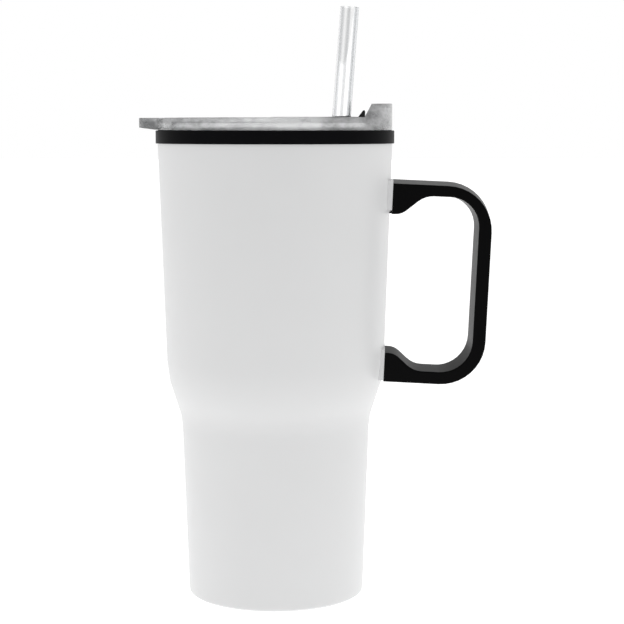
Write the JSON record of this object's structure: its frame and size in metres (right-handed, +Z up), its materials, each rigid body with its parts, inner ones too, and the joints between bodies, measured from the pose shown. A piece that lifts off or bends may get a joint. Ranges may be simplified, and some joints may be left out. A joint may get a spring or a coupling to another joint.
{
  "type": "insulated travel tumbler",
  "caption": "Tall insulated cup with a shouldered steel shell, a side handle, a clear push-on lid with a slide closure and spout, and a straw through the lid.",
  "frame": {"origin": "centre of the foot pad's underside, on the cup's axis, where the cup rests", "axes": "+Z up the cup's axis, +X towards the handle and the spout, +Y towards the straw's side"},
  "size_m": [0.1473, 0.1, 0.2503],
  "materials": {
    "shell_coat": "satin",
    "steel": "brushed",
    "pad_rubber": "matt",
    "black_plastic": "satin",
    "handle_plastic": "satin",
    "dark_plastic": "gloss",
    "clear_plastic": "clear gloss",
    "seal_rubber": "matt"
  },
  "bodies": {
    "cup": {"outer_shell": "shell_coat", "base_plate": "steel", "foot_pad": "pad_rubber", "inner_liner": "black_plastic", "collar_gasket": "seal_rubber", "handle": "handle_plastic", "handle_spacers": "shell_coat", "handle_screws": "steel", "saddle_washers": "steel"},
    "lid": {"lid_body": "clear_plastic", "lid_seal": "seal_rubber", "straw_grommet": "seal_rubber"},
    "slider": {"slide_closure": "dark_plastic", "slide_seal": "seal_rubber"},
    "straw": {"straw": "clear_plastic"}
  },
  "joints": [
    {"name": "lid_lift", "type": "slide", "parent": "cup", "child": "lid", "axis": [0, 0, 1], "range_m": [0, 0.2]},
    {"name": "slider_slide", "type": "slide", "parent": "lid", "child": "slider", "axis": [-1, 0, 0], "range_m": [0, 0.012]},
    {"name": "straw_pull", "type": "slide", "parent": "lid", "child": "straw", "axis": [0.0719, 0.0461, 0.9963], "range_m": [0, 0.24]}
  ]
}
